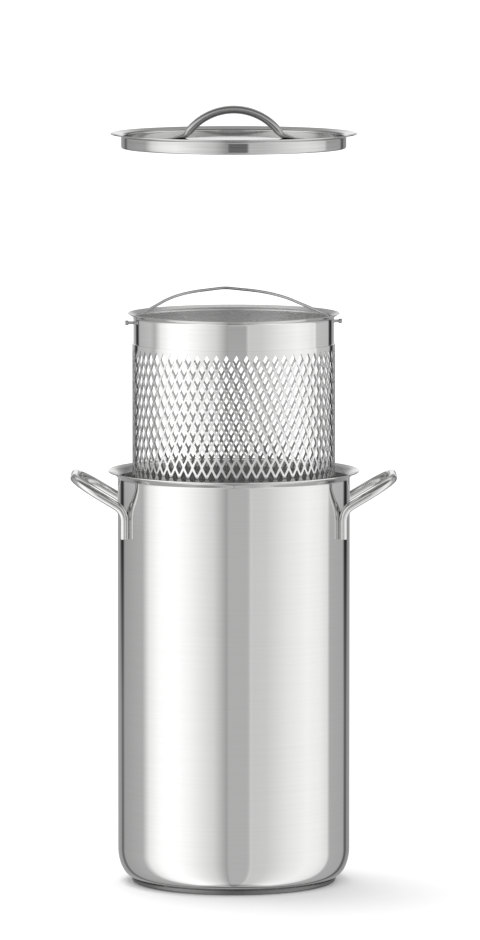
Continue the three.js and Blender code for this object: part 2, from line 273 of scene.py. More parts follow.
def pressed_sheet(corners, thickness):
    """Closed outline of a sheet from the path of its outer face.
    Each point is a radius, a height and how far inside the piece it lies."""
    outer = rounded(corners)
    along = (outer[-1] - outer[-2]).normalized()
    outer[-1] = outer[-1] - along * thickness / 2
    inner = beside(outer, thickness)
    if along.x > along.y:
        inner[-1] += along * (outer[-1].x - inner[-1].x) / along.x
    middle = (outer[-1] + inner[-1]) / 2
    across = outer[-1] - middle
    bulge = turn_by(across, math.pi / 2) * EDGE_BULGE
    turns = [math.pi * step / EDGE_STEPS for step in range(EDGE_STEPS + 1)]
    edge = [middle + across * math.cos(turn) + bulge * math.sin(turn) for turn in turns]
    outside = [(*point, 0) for point in outer[:-1]]
    inside = []
    for point in reversed(inner[:-1]):
        inside.append((*point, min(1, (point - middle).length / POLISHED_EDGE)))
    return outside + [(*point, 0) for point in edge] + inside


# %% Turning an outline
TURN_STEPS = 256
SHARP_ANGLE = math.radians(35)


def turned_mesh(name, outline, lift=0):
    """Turn an outline of radius and height about the axis. Points on the axis become poles."""
    vertices = []
    rings = []
    marks = []
    for radius, height, *inside in outline:
        count = TURN_STEPS if radius else 1
        marks += inside * count
        rings.append(range(len(vertices), len(vertices) + count))
        for step in range(count):
            angle = 2 * math.pi * step / TURN_STEPS
            vertices.append((radius * math.sin(angle), -radius * math.cos(angle), height + lift))
    faces = []
    for low, high in zip(rings, rings[1:]):
        for step in range(TURN_STEPS):
            after = (step + 1) % TURN_STEPS
            around = (low, step), (low, after), (high, after), (high, step)
            corners = [ring[turn % len(ring)] for ring, turn in around]
            faces.append(list(dict.fromkeys(corners)))
    mesh = bpy.data.meshes.new(name)
    mesh.from_pydata(vertices, [], faces)
    if marks:
        mesh.attributes.new("inside", "FLOAT", "POINT").data.foreach_set("value", marks)
    return mesh


def placed(name, mesh):
    """An object at the origin that shows a mesh."""
    made = bpy.data.objects.new(name, mesh)
    scene.collection.objects.link(made)
    return made


def finished(made, finish, body, node):
    """Smooth a piece, give it its finish if it has none, and hand it over in place of a solid."""
    made.data.shade_smooth()
    made.data.set_sharp_from_angle(angle=SHARP_ANGLE)
    if not made.data.materials:
        made.data.materials.append(finish)
    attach(made, body)
    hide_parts(node)
    triangles = sum(len(face.vertices) - 2 for face in made.data.polygons)
    print(made.name, "has", triangles, "triangles")


# %% [markdown]
# The pot and its base
#
# The pot is one deep drawn sheet: a flat floor, a bottom corner, a straight wall and a pouring lip.
# The corner is a quarter of an ellipse, taller than it is wide. The lip flares out steeply at its
# root and is flatter towards its edge. Below the pot a steel cup is pressed over an aluminium disc.
# The cup's side stands in from the wall, so a shadow line shows between the two. Both are plain
# turned outlines.

# %% The pot
POT_RADIUS = 80 * MM
POT_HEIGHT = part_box("pot_shell")[1].z
POT_SHEET = 0.8 * MM
POT_FLOOR = 3.4 * MM
CORNER_WIDE = 11 * MM
CORNER_HIGH = 20 * MM
CORNER_STEPS = 18
LIP_MIDDLE = 82.8 * MM
LIP_EDGE = 86.7 * MM
LIP_ROOT_SLOPE = math.radians(48)
LIP_EDGE_SLOPE = math.radians(13)
LIP_BEND = 1.2 * MM
LIP_CURL = 3 * MM

lip_under = POT_HEIGHT - POT_SHEET / math.cos(LIP_EDGE_SLOPE)
lip_turn = lip_under - (LIP_EDGE - LIP_MIDDLE) * math.tan(LIP_EDGE_SLOPE)
lip_start = lip_turn - (LIP_MIDDLE - POT_RADIUS) * math.tan(LIP_ROOT_SLOPE)


def corner_point(step):
    """A point of the bottom corner, a quarter of an ellipse, from the floor up to the wall."""
    turn = math.pi / 2 * step / CORNER_STEPS
    radius = POT_RADIUS - CORNER_WIDE * (1 - math.sin(turn))
    return radius, POT_FLOOR + CORNER_HIGH * (1 - math.cos(turn))


pot_outline = pressed_sheet([
    (0, POT_FLOOR),
    (POT_RADIUS - CORNER_WIDE - GUARD, POT_FLOOR),
    *[corner_point(step) for step in range(CORNER_STEPS + 1)],
    (POT_RADIUS, POT_FLOOR + CORNER_HIGH + GUARD),
    (POT_RADIUS, lip_start, LIP_BEND),
    (LIP_MIDDLE, lip_turn, LIP_CURL),
    (LIP_EDGE, lip_under),
], POT_SHEET)
pot = placed("pot_body", turned_mesh("pot_body", pot_outline))
finished(pot, pot_steel, "pot", "pot_shell")

# %% The base cup
BASE_RADIUS = 70.5 * MM
BASE_HEIGHT = 3.3 * MM
BASE_SHEET = 0.6 * MM
BASE_CORNER = 1.5 * MM

base_outline = pressed_sheet([
    (0, 0),
    (BASE_RADIUS, 0, BASE_CORNER),
    (BASE_RADIUS, BASE_HEIGHT),
], BASE_SHEET)
base = placed("base_cup", turned_mesh("base_cup", base_outline))
finished(base, base_steel, "pot", "base_cap")

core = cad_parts["base_core"]
core.data.materials.clear()
core.data.materials.append(core_aluminium)

# %% [markdown]
# The lid
#
# The lid is a shallow dish. Its floor rises to a low dome, its skirt drops into the pot, and its
# flange rests in the flared lip. The dome is flat in the middle and falls faster towards the skirt.

# %% The lid's dish
LID_SHEET = 0.8 * MM
LID_EDGE = 84.8 * MM
SKIRT_RADIUS = 77.3 * MM
LID_DEPTH = 10 * MM
SOLID_DEPTH = 9.3 * MM
LID_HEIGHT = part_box("lid_dish")[0].z + SOLID_DEPTH
LID_CORNER = 1.2 * MM
LID_DOME = 6.7 * MM
DOME_POWER = 3
FLANGE_RISE = 1.3 * MM
FLANGE_BEND = 1 * MM
DOME_STEPS = 16
DOME_EDGE = SKIRT_RADIUS - LID_CORNER


def dome_height(radius):
    """Underside of the lid's floor below the edge of its flange."""
    return LID_DOME * (1 - (radius / DOME_EDGE) ** DOME_POWER) - LID_DEPTH


dome_radii = [DOME_EDGE * step / DOME_STEPS for step in range(DOME_STEPS)]
lid_outline = pressed_sheet([
    *[(radius, dome_height(radius)) for radius in dome_radii],
    (SKIRT_RADIUS, -LID_DEPTH, LID_CORNER),
    (SKIRT_RADIUS, -FLANGE_RISE, FLANGE_BEND),
    (LID_EDGE, 0),
], LID_SHEET)
lid = placed("lid", turned_mesh("lid", lid_outline, LID_HEIGHT))
finished(lid, lid_steel, "lid", "lid_dish")

# %% [markdown]
# Bent rod, as a Geometry Nodes tree
#
# Two side handles, the lid's handle and the bail are all one thing: a rod that follows a path and
# is bent at its corners. So one tree makes them all. Its start mesh is a chain of points. Each
# point carries the radius that the rod is bent to there, and how wide and how thick the rod is. The
# chain becomes a curve, Fillet Curve bends it, and Curve to Mesh sweeps a circle along it. The tree
# remembers the middle of the rod, so that the section can be flattened or thickened about it. A
# last step moves points out to a given distance from the pot's axis, which trims the feet of the
# side handles to the wall.

# %% Helpers for trees
FLOAT = "NodeSocketFloat"
WHOLE = "NodeSocketInt"
FINISH = "NodeSocketMaterial"


def new_tree(name, **inputs):
    """An empty Geometry Nodes tree with named inputs."""
    tree = bpy.data.node_groups.new(name, "GeometryNodeTree")
    tree.interface.new_socket("Geometry", in_out="INPUT", socket_type="NodeSocketGeometry")
    for label, kind in inputs.items():
        tree.interface.new_socket(label, in_out="INPUT", socket_type=kind)
    tree.interface.new_socket("Geometry", in_out="OUTPUT", socket_type="NodeSocketGeometry")
    return tree, tree.nodes.new("NodeGroupInput").outputs


def close_tree(tree, shape, finish):
    """End a tree in real geometry with its finish."""
    real = add(tree, "GeometryNodeRealizeInstances", {"Geometry": shape}).outputs[0]
    dressed = add(tree, "GeometryNodeSetMaterial", {"Geometry": real, "Material": finish}).outputs[0]
    add(tree, "NodeGroupOutput", {"Geometry": dressed})


def converted(made):
    """Replace a piece's mesh by the result of its modifiers, and drop them."""
    result = made.evaluated_get(bpy.context.evaluated_depsgraph_get())
    mesh = bpy.data.meshes.new_from_object(result)
    made.modifiers.clear()
    made.data = mesh
    return made


def grown(name, start, tree, **sizes):
    """Run a tree on a start mesh and keep the result as a plain mesh."""
    made = placed(name, start)
    modifier = made.modifiers.new("tree", "NODES")
    modifier.node_group = tree
    for socket in tree.interface.items_tree:
        if socket.in_out == "INPUT" and socket.name in sizes:
            modifier[socket.identifier] = sizes[socket.name]
    return converted(made)


# %% The bent rod tree
rod_tree, given = new_tree("bent_rod", rod_radius=FLOAT, sides=WHOLE, bend_steps=WHOLE,
                           clear_of=FLOAT, finish=FINISH)


def remembered(tree, name, kind="FLOAT"):
    """What the start mesh or an earlier node stored under a name."""
    stored = add(tree, "GeometryNodeInputNamedAttribute", {"Name": name}, data_type=kind)
    return stored.outputs["Attribute"]


chain = add(rod_tree, "GeometryNodeMeshToCurve", {"Mesh": given["Geometry"]}).outputs["Curve"]
bent = add(rod_tree, "GeometryNodeFilletCurve", {
    "Curve": chain,
    "Count": given["bend_steps"],
    "Radius": remembered(rod_tree, "bend"),
}, mode="POLY").outputs["Curve"]
position = add(rod_tree, "GeometryNodeInputPosition").outputs["Position"]
marked = add(rod_tree, "GeometryNodeStoreNamedAttribute", {
    "Geometry": bent,
    "Name": "middle",
    "Value": position,
}, data_type="FLOAT_VECTOR").outputs["Geometry"]
circle = add(rod_tree, "GeometryNodeCurvePrimitiveCircle", {
    "Resolution": given["sides"],
    "Radius": given["rod_radius"],
}).outputs["Curve"]
swept = add(rod_tree, "GeometryNodeCurveToMesh", {
    "Curve": marked,
    "Profile Curve": circle,
    "Fill Caps": True,
}).outputs["Mesh"]

middle = remembered(rod_tree, "middle", "FLOAT_VECTOR")
wide = remembered(rod_tree, "wide")
thick = remembered(rod_tree, "thick")
section = add(rod_tree, "ShaderNodeCombineXYZ", {"X": thick, "Y": wide, "Z": thick}).outputs[0]
offset = calculate_vector(rod_tree, "SUBTRACT", position, middle)["Vector"]
offset = calculate_vector(rod_tree, "MULTIPLY", offset, section)["Vector"]
shaped = calculate_vector(rod_tree, "ADD", middle, offset)["Vector"]

level = calculate_vector(rod_tree, "MULTIPLY", shaped, (1, 1, 0))["Vector"]
reach = calculate_vector(rod_tree, "LENGTH", level)["Value"]
kept_clear = calculate(rod_tree, "MAXIMUM", reach, given["clear_of"])
stretch = calculate(rod_tree, "DIVIDE", kept_clear, reach)
trim = add(rod_tree, "ShaderNodeCombineXYZ", {"X": stretch, "Y": stretch, "Z": 1.0}).outputs[0]
trimmed = calculate_vector(rod_tree, "MULTIPLY", shaped, trim)["Vector"]
moved = add(rod_tree, "GeometryNodeSetPosition", {"Geometry": swept, "Position": trimmed}).outputs[0]
close_tree(rod_tree, moved, given["finish"])
print("bent rod tree has", len(rod_tree.nodes), "nodes")

# %% Rods from chains of points
BEND_STEPS = 24
ROD_SIDES = 32


def rod(name, chain, radius, finish, place=Matrix.Identity(4), clear_of=0.0):
    """A bent rod. Each point of its chain is a place, a bend, a width and a thickness.
    The width and the thickness are shares of the round rod's."""
    mesh = bpy.data.meshes.new(name)
    mesh.from_pydata([point[0] for point in chain], [(i, i + 1) for i in range(len(chain) - 1)], [])
    for index, label in enumerate(("bend", "wide", "thick"), start=1):
        values = mesh.attributes.new(label, "FLOAT", "POINT").data
        for value, point in zip(values, chain):
            value.value = point[index]
    made = grown(name, mesh, rod_tree, rod_radius=radius, sides=ROD_SIDES, bend_steps=BEND_STEPS,
                 clear_of=clear_of, finish=finish)
    for label in ("bend", "wide", "thick", "middle"):
        made.data.attributes.remove(made.data.attributes[label])
    made.data.transform(place)
    return made


def other_half(half):
    """The second half of a chain that mirrors itself, from the top back down."""
    return [((-place[0], 0, place[2]), *shape) for place, *shape in reversed(half)]


def arch_bend(half_span, rise, leg_angle):
    """Radius at the top of an arch that stands on straight legs."""
    return (half_span * math.tan(leg_angle) - rise) / (1 / math.cos(leg_angle) - 1)


# %% [markdown]
# The side handles
#
# Each one is a rod bent to a squared loop. Two legs rise from the wall at a slant and the crossbar
# joins them. The lower ends turn down and lie on the wall, where they are welded. The right handle
# is the left one in a mirror, so the same points serve both, with a side of minus one or one.

# %% Left and right handle
HANDLE_RADIUS = 3 * MM
HANDLE_BEND = 12 * MM
HANDLE_CORNER = 20 * MM
HALF_WIDTH = 33.4 * MM
BAR_REACH = 109.3 * MM
BAR_DROP = 4.2 * MM
BAR_HEIGHT = POT_HEIGHT - BAR_DROP
HANDLE_TILT = math.radians(31)
FOOT_STANDOFF = 2 * MM
FOOT_LENGTH = 19.5 * MM
WELD_GAP = 0.1 * MM

foot_reach = math.sqrt((POT_RADIUS + FOOT_STANDOFF) ** 2 - HALF_WIDTH ** 2)
elbow_height = BAR_HEIGHT - (BAR_REACH - foot_reach) * math.tan(HANDLE_TILT)
for label, side in (("left", -1), ("right", 1)):
    leg = [
        (foot_reach, elbow_height - FOOT_LENGTH, 0),
        (foot_reach, elbow_height, HANDLE_BEND),
        (BAR_REACH, BAR_HEIGHT, HANDLE_CORNER),
    ]
    near = [((side * x, -HALF_WIDTH, z), bend, 1, 1) for x, z, bend in leg]
    far = [((side * x, HALF_WIDTH, z), bend, 1, 1) for x, z, bend in reversed(leg)]
    handle = rod(f"{label}_handle", near + far, HANDLE_RADIUS, handle_steel,
                 clear_of=POT_RADIUS + WELD_GAP)
    finished(handle, handle_steel, "pot", f"side_handle_{label}")

# %% [markdown]
# The lid's handle
#
# An arched rod whose ends are hammered flat into tongues and welded to the lid's floor. The points
# at the ends carry a large width and a small thickness, and the rod runs from round to flat over
# the bend.

# %% Arch and tongues
GRIP_RADIUS = 2.8 * MM
GRIP_HALF_SPAN = 35 * MM
GRIP_RISE = 19.9 * MM
GRIP_LEG = math.radians(50)
GRIP_KINK = 4 * MM
TONGUE_LENGTH = 14 * MM
TONGUE_WIDE = 1.6
TONGUE_THIN = 0.27
ROOT_WIDE = 1.15
ROOT_THICK = 0.75
LEG_START = 3 * MM


def lid_floor(radius):
    """Top of the lid's floor, in the frame of the whole object."""
    return LID_HEIGHT + dome_height(radius) + LID_SHEET


springing = lid_floor(GRIP_HALF_SPAN)
tongue_end = GRIP_HALF_SPAN + TONGUE_LENGTH
tongue_middle = GRIP_HALF_SPAN + TONGUE_LENGTH / 2
tongue_half = TONGUE_THIN * GRIP_RADIUS
root_half = ROOT_THICK * GRIP_RADIUS
apex = springing + GRIP_HALF_SPAN * math.tan(GRIP_LEG)
grip_bend = arch_bend(GRIP_HALF_SPAN, GRIP_RISE, GRIP_LEG)


def leg_point(height):
    """Where the straight leg is at a height over the lid's floor."""
    return -GRIP_HALF_SPAN + height / math.tan(GRIP_LEG), 0, springing + height


half_grip = [
    ((-tongue_end, 0, lid_floor(tongue_end) + tongue_half), 0, TONGUE_WIDE, TONGUE_THIN),
    ((-tongue_middle, 0, lid_floor(tongue_middle) + tongue_half), 0, TONGUE_WIDE, TONGUE_THIN),
    (leg_point(root_half), GRIP_KINK, ROOT_WIDE, ROOT_THICK),
    (leg_point(root_half + LEG_START), 0, 1, 1),
]
grip_top = [((0, 0, apex), grip_bend, 1, 1)]
grip = rod("lid_grip", half_grip + grip_top + other_half(half_grip), GRIP_RADIUS, grip_steel)
finished(grip, grip_steel, "lid", "lid_handle")

# %% [markdown]
# Diamond perforations, as a Geometry Nodes tree
#
# The basket's wall is sheet with staggered rows of pointed diamonds. Cutting some two thousand
# holes with booleans would be slow and leave long thin faces. It is better to build the wall from
# the steel between the holes. One rhombus with a diamond hole is the start mesh. The tree sets it
# on points in staggered rows, where each rhombus shares its edges with its neighbours, wraps the
# flat sheet round the axis and merges the seams. A plain half rhombus, run through the same tree,
# fills the zigzag at the top and the bottom.

# %% The diamond sheet tree
MERGE = 0.02 * MM
STAGGER = 0.5

sheet_tree, given = new_tree("diamond_sheet", columns=WHOLE, rows=WHOLE, row_step=FLOAT, first_row=FLOAT,
                             shift=FLOAT, radius=FLOAT, turn=FLOAT, finish=FINISH)
index = add(sheet_tree, "GeometryNodeInputIndex").outputs["Index"]
row = calculate(sheet_tree, "FLOOR", calculate(sheet_tree, "DIVIDE", index, given["columns"]))
column = calculate(sheet_tree, "MODULO", index, given["columns"])
stagger = calculate(sheet_tree, "MULTIPLY", calculate(sheet_tree, "MODULO", row, 2.0), STAGGER)
place = calculate(sheet_tree, "ADD", calculate(sheet_tree, "ADD", column, stagger), given["shift"])
girth = calculate(sheet_tree, "MULTIPLY", given["radius"], math.tau)
pitch = calculate(sheet_tree, "DIVIDE", girth, given["columns"])
across = calculate(sheet_tree, "MULTIPLY", place, pitch)
down = calculate(sheet_tree, "MULTIPLY", row, given["row_step"])
height = calculate(sheet_tree, "SUBTRACT", given["first_row"], down)
count = calculate(sheet_tree, "MULTIPLY", given["columns"], given["rows"])
spots = add(sheet_tree, "GeometryNodePoints", {
    "Count": count,
    "Position": add(sheet_tree, "ShaderNodeCombineXYZ", {"X": across, "Z": height}).outputs[0],
}).outputs[0]
tiles = add(sheet_tree, "GeometryNodeInstanceOnPoints", {
    "Points": spots,
    "Instance": given["Geometry"],
}).outputs[0]
flat = add(sheet_tree, "GeometryNodeRealizeInstances", {"Geometry": tiles}).outputs[0]

spot = add(sheet_tree, "ShaderNodeSeparateXYZ", {
    "Vector": add(sheet_tree, "GeometryNodeInputPosition").outputs["Position"],
}).outputs
rolled = calculate(sheet_tree, "DIVIDE", spot["X"], given["radius"])
angle = calculate(sheet_tree, "ADD", rolled, given["turn"])
right = calculate(sheet_tree, "MULTIPLY", calculate(sheet_tree, "SINE", angle), given["radius"])
front = calculate(sheet_tree, "MULTIPLY", calculate(sheet_tree, "COSINE", angle), given["radius"])
wrapped = add(sheet_tree, "ShaderNodeCombineXYZ", {
    "X": right,
    "Y": calculate(sheet_tree, "MULTIPLY", front, -1.0),
    "Z": spot["Z"],
}).outputs[0]
round_sheet = add(sheet_tree, "GeometryNodeSetPosition", {
    "Geometry": flat,
    "Position": wrapped,
}).outputs[0]
welded = add(sheet_tree, "GeometryNodeMergeByDistance", {
    "Geometry": round_sheet,
    "Distance": MERGE,
}).outputs[0]
close_tree(sheet_tree, welded, given["finish"])
print("diamond sheet tree has", len(sheet_tree.nodes), "nodes")

# %% The two tiles
BASKET_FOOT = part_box("basket_wall")[0].z
BASKET_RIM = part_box("basket_wall")[1].z
WALL_RADIUS = 69.8 * MM
COLUMNS = 64
ROWS = 30
ROW_STEP = 7.2 * MM
RIM_TO_ROW = 28.8 * MM
FIRST_ROW = BASKET_RIM - RIM_TO_ROW
HOLE_WIDTH = 5.3 * MM
HOLE_HEIGHT = 10.2 * MM
SIDE_STEPS = 3
SIDE_SWELL = 1.06

tile_width = math.tau * WALL_RADIUS / COLUMNS


def diamond_ring(half_width, half_height, swell=1.0):
    """Points round a diamond, anticlockwise from its right tip. swell pushes its sides out."""
    tips = [(half_width, 0), (0, half_height), (-half_width, 0), (0, -half_height)]
    ring = []
    for start, end in zip(tips, tips[1:] + tips[:1]):
        for step in range(SIDE_STEPS):
            share = step / SIDE_STEPS
            push = swell if step else 1
            ring.append([push * (low + (high - low) * share) for low, high in zip(start, end)])
    return ring


def flat_mesh(name, points, faces):
    """A flat mesh that faces the front."""
    mesh = bpy.data.meshes.new(name)
    mesh.from_pydata([(x, 0, z) for x, z in points], [], faces)
    return mesh


outer_ring = diamond_ring(tile_width / 2, ROW_STEP)
hole_ring = diamond_ring(HOLE_WIDTH / 2, HOLE_HEIGHT / 2, SIDE_SWELL)
ring_size = len(outer_ring)
ring_faces = []
for first in range(ring_size):
    second = (first + 1) % ring_size
    ring_faces.append((first, second, ring_size + second, ring_size + first))
holed_tile = flat_mesh("holed_tile", outer_ring + hole_ring, ring_faces)

# A half tile has rows of points from its straight edge down to its tip, with triangles between them.
half_points = [(tile_width * share, 0) for share in (-1 / 2, -1 / 4, 0, 1 / 4, 1 / 2)]
half_points += [(tile_width * share, -ROW_STEP / 3) for share in (-1 / 3, 0, 1 / 3)]
half_points += [(tile_width * share, -ROW_STEP * 2 / 3) for share in (-1 / 6, 1 / 6)] + [(0, -ROW_STEP)]
half_faces = [
    (0, 5, 1), (1, 5, 6), (1, 6, 2), (2, 6, 3), (3, 6, 7), (3, 7, 4),
    (5, 8, 6), (6, 8, 9), (6, 9, 7), (8, 10, 9),
]
hanging_tile = flat_mesh("hanging_tile", half_points, half_faces)
standing_points = [(x, -z) for x, z in half_points]
standing_faces = [tuple(reversed(face)) for face in half_faces]
standing_tile = flat_mesh("standing_tile", standing_points, standing_faces)
print("a holed tile has", len(ring_faces), "faces and a half tile", len(half_faces))

# %% [markdown]
# The basket's wall
#
# Above the diamonds the sheet ends in a sharp lap, behind which a plain band rises to a flared
# edge. Below them a plain strip runs down to the floor. These are turned strips with one ring point
# for each quarter of a tile, so their edges meet the tiles exactly. All strips are merged into one
# sheet, Solidify gives it its thickness, and one boolean drills the two holes for the bail.

# %% Strips and tiles become one sheet
BAND_RADIUS = 69 * MM
BASKET_EDGE = 72.8 * MM
BASKET_SHEET = 0.4 * MM
LAP_HEIGHT = 0.8 * MM
LAP_SLOPE = 0.1 * MM
EDGE_SLOPE = math.radians(30)
EDGE_BEND = 2 * MM
PATTERN_TURN = math.radians(1.6)

sheet_top = FIRST_ROW + ROW_STEP
sheet_foot = FIRST_ROW - ROWS * ROW_STEP
edge_under = BASKET_RIM - BASKET_SHEET * math.cos(EDGE_SLOPE)
edge_start = edge_under - (BASKET_EDGE - BAND_RADIUS) * math.tan(EDGE_SLOPE)
band_path = rounded([
    (WALL_RADIUS, sheet_top),
    (WALL_RADIUS, sheet_top + LAP_HEIGHT),
    (BAND_RADIUS, sheet_top + LAP_HEIGHT + LAP_SLOPE),
    (BAND_RADIUS, edge_start, EDGE_BEND),
    (BASKET_EDGE, edge_under),
])
foot_path = [(WALL_RADIUS, BASKET_FOOT), (WALL_RADIUS, sheet_foot)]
sizes = dict(columns=COLUMNS, row_step=ROW_STEP, radius=WALL_RADIUS, turn=PATTERN_TURN,
             finish=basket_steel)
holed = grown("holed", holed_tile, sheet_tree, rows=ROWS, first_row=FIRST_ROW, shift=0.0, **sizes)
above = grown("above", hanging_tile, sheet_tree, rows=1, first_row=sheet_top, shift=STAGGER, **sizes)
below = grown("below", standing_tile, sheet_tree, rows=1, first_row=sheet_foot,
              shift=ROWS % 2 * STAGGER, **sizes)

sheet = bmesh.new()
for tiles in (holed, above, below):
    sheet.from_mesh(tiles.data)
    bpy.data.objects.remove(tiles)
for path in (band_path, foot_path):
    strip = turned_mesh("strip", path)
    strip.transform(Matrix.Rotation(PATTERN_TURN, 4, "Z"))
    sheet.from_mesh(strip)
bmesh.ops.remove_doubles(sheet, verts=sheet.verts, dist=MERGE)
wall_mesh = bpy.data.meshes.new("basket")
sheet.to_mesh(wall_mesh)
open_edges = sum(edge.is_boundary for edge in sheet.edges)
sheet.free()
wall_mesh.materials.clear()
wall_mesh.materials.append(basket_steel)
print("the basket's sheet has", len(wall_mesh.polygons), "faces and", open_edges, "open edges")

# %% Thickness and pivot holes
PIVOT_DROP = 6.2 * MM
PIVOT_HEIGHT = BASKET_RIM - PIVOT_DROP
PIVOT_HOLE = 1.4 * MM
DRILL_SIDES = 24
BASKET_TURN = Matrix.Rotation(math.radians(6.3), 4, "Z")


def drilled(made, drill):
    """Cut a drill out of a piece and throw the drill away."""
    cut = made.modifiers.new("drill", "BOOLEAN")
    cut.operation = "DIFFERENCE"
    cut.solver = "MANIFOLD"
    cut.object = drill
    converted(made)
    bpy.data.objects.remove(drill)


wall = placed("basket", wall_mesh)
thickness = wall.modifiers.new("sheet", "SOLIDIFY")
thickness.thickness = BASKET_SHEET
thickness.offset = -1
outer_points = len(wall_mesh.vertices)
converted(wall)
inside = [float(point >= outer_points) for point in range(len(wall.data.vertices))]
wall.data.attributes.new("inside", "FLOAT", "POINT").data.foreach_set("value", inside)

drill_mesh = bmesh.new()
lying = BASKET_TURN @ Matrix.Translation((0, 0, PIVOT_HEIGHT)) @ Matrix.Rotation(math.pi / 2, 4, "Y")
bmesh.ops.create_cone(drill_mesh, cap_ends=True, segments=DRILL_SIDES, radius1=PIVOT_HOLE,
                      radius2=PIVOT_HOLE, depth=2 * BASKET_EDGE, matrix=lying)
pivot_drill = placed("pivot_drill", bpy.data.meshes.new("pivot_drill"))
drill_mesh.to_mesh(pivot_drill.data)
drill_mesh.free()
drilled(wall, pivot_drill)
finished(wall, basket_steel, "basket", "basket_wall")

# %% [markdown]
# The basket's floor
#
# The floor is a turned dish with an upturned flange inside the wall. Water drains through round
# holes. A tree lays out a grid of points, moves every other row by half a step, keeps those inside
# the flat of the floor and puts a short drill on each. One boolean then cuts them all.

# %% The drain drill tree
TRIANGLE_HEIGHT = math.sqrt(3) / 2

drain_tree, given = new_tree("drain_drills", across=WHOLE, hole_step=FLOAT, hole_radius=FLOAT,
                             depth=FLOAT, reach=FLOAT, finish=FINISH)
row_step = calculate(drain_tree, "MULTIPLY", given["hole_step"], TRIANGLE_HEIGHT)
last = calculate(drain_tree, "SUBTRACT", given["across"], 1.0)
grid = add(drain_tree, "GeometryNodeMeshGrid", {
    "Size X": calculate(drain_tree, "MULTIPLY", last, given["hole_step"]),
    "Size Y": calculate(drain_tree, "MULTIPLY", last, row_step),
    "Vertices X": given["across"],
    "Vertices Y": given["across"],
}).outputs["Mesh"]
spot = add(drain_tree, "GeometryNodeInputPosition").outputs["Position"]
spot_back = add(drain_tree, "ShaderNodeSeparateXYZ", {"Vector": spot}).outputs["Y"]
spot_row = calculate(drain_tree, "DIVIDE", spot_back, row_step)
odd = calculate(drain_tree, "PINGPONG", calculate(drain_tree, "ROUND", spot_row), 1.0)
stagger = calculate(drain_tree, "MULTIPLY", odd, STAGGER)
push = calculate(drain_tree, "MULTIPLY", stagger, given["hole_step"])
sideways = add(drain_tree, "ShaderNodeCombineXYZ", {"X": push}).outputs[0]
staggered = add(drain_tree, "GeometryNodeSetPosition", {"Geometry": grid, "Offset": sideways}).outputs[0]
from_middle = calculate_vector(drain_tree, "LENGTH", spot)["Value"]
inside = calculate(drain_tree, "LESS_THAN", from_middle, given["reach"])
spots = add(drain_tree, "GeometryNodeMeshToPoints", {"Mesh": staggered, "Selection": inside}).outputs[0]
drill_shape = add(drain_tree, "GeometryNodeMeshCylinder", {
    "Vertices": DRILL_SIDES,
    "Radius": given["hole_radius"],
    "Depth": given["depth"],
}).outputs["Mesh"]
drills = add(drain_tree, "GeometryNodeInstanceOnPoints", {
    "Points": spots,
    "Instance": drill_shape,
}).outputs[0]
close_tree(drain_tree, drills, given["finish"])
print("drain drill tree has", len(drain_tree.nodes), "nodes")

# %% Dish and drain holes
FLOOR_RADIUS = 69.2 * MM
FLOOR_FLANGE = 9 * MM
FLOOR_BEND = 3 * MM
DRAIN_STEP = 10 * MM
DRAIN_RADIUS = 2.5 * MM
DRAINS_ACROSS = 15
DRAIN_REACH = 60 * MM
DRILL_DEPTH = 8 * BASKET_SHEET

floor_outline = pressed_sheet([
    (0, 0),
    (FLOOR_RADIUS, 0, FLOOR_BEND),
    (FLOOR_RADIUS, FLOOR_FLANGE),
], BASKET_SHEET)
basket_dish = placed("basket_dish", turned_mesh("basket_dish", floor_outline, BASKET_FOOT))
basket_dish.data.materials.append(basket_steel)
drain_drills = grown("drain_drills", bpy.data.meshes.new("drain_start"), drain_tree,
                     across=DRAINS_ACROSS, hole_step=DRAIN_STEP, hole_radius=DRAIN_RADIUS,
                     depth=DRILL_DEPTH, reach=DRAIN_REACH, finish=basket_steel)
drain_drills.data.transform(Matrix.Translation((0, 0, BASKET_FOOT)))
drilled(basket_dish, drain_drills)
finished(basket_dish, basket_steel, "basket", "basket_floor")

# %% [markdown]
# The bail
#
# One thin wire carries the basket. Its ends pass through the band and are upset to small heads, so
# they can't slip out. It rises along the wall to two knees, leans in to two shoulders and meets in
# a blunt point, where a hook or a finger finds its place. It is drawn standing up about its pivots,
# and then leant back and turned with the basket.

# %% Wire and heads
WIRE_RADIUS = 1 * MM
BAIL_HALF_SPAN = 66.2 * MM
BAIL_RISE = 60.5 * MM
BAIL_KNEE = 10.6 * MM
BAIL_SHOULDER = 34 * MM
BAIL_ROOF = 9.7 * MM
BAIL_BEND = 2.5 * MM
KNEE_BEND = 15 * MM
SHOULDER_BEND = 57 * MM
POINT_BEND = 14 * MM
BAIL_STUB = 6 * MM
HEAD_LENGTH = 2 * MM
HEAD_SWELL = 1.6
HEAD_TIP = 1.2
HEAD_EDGE = 0.4 * MM
BAIL_LEAN = Matrix.Rotation(math.radians(-71.5), 4, "X")

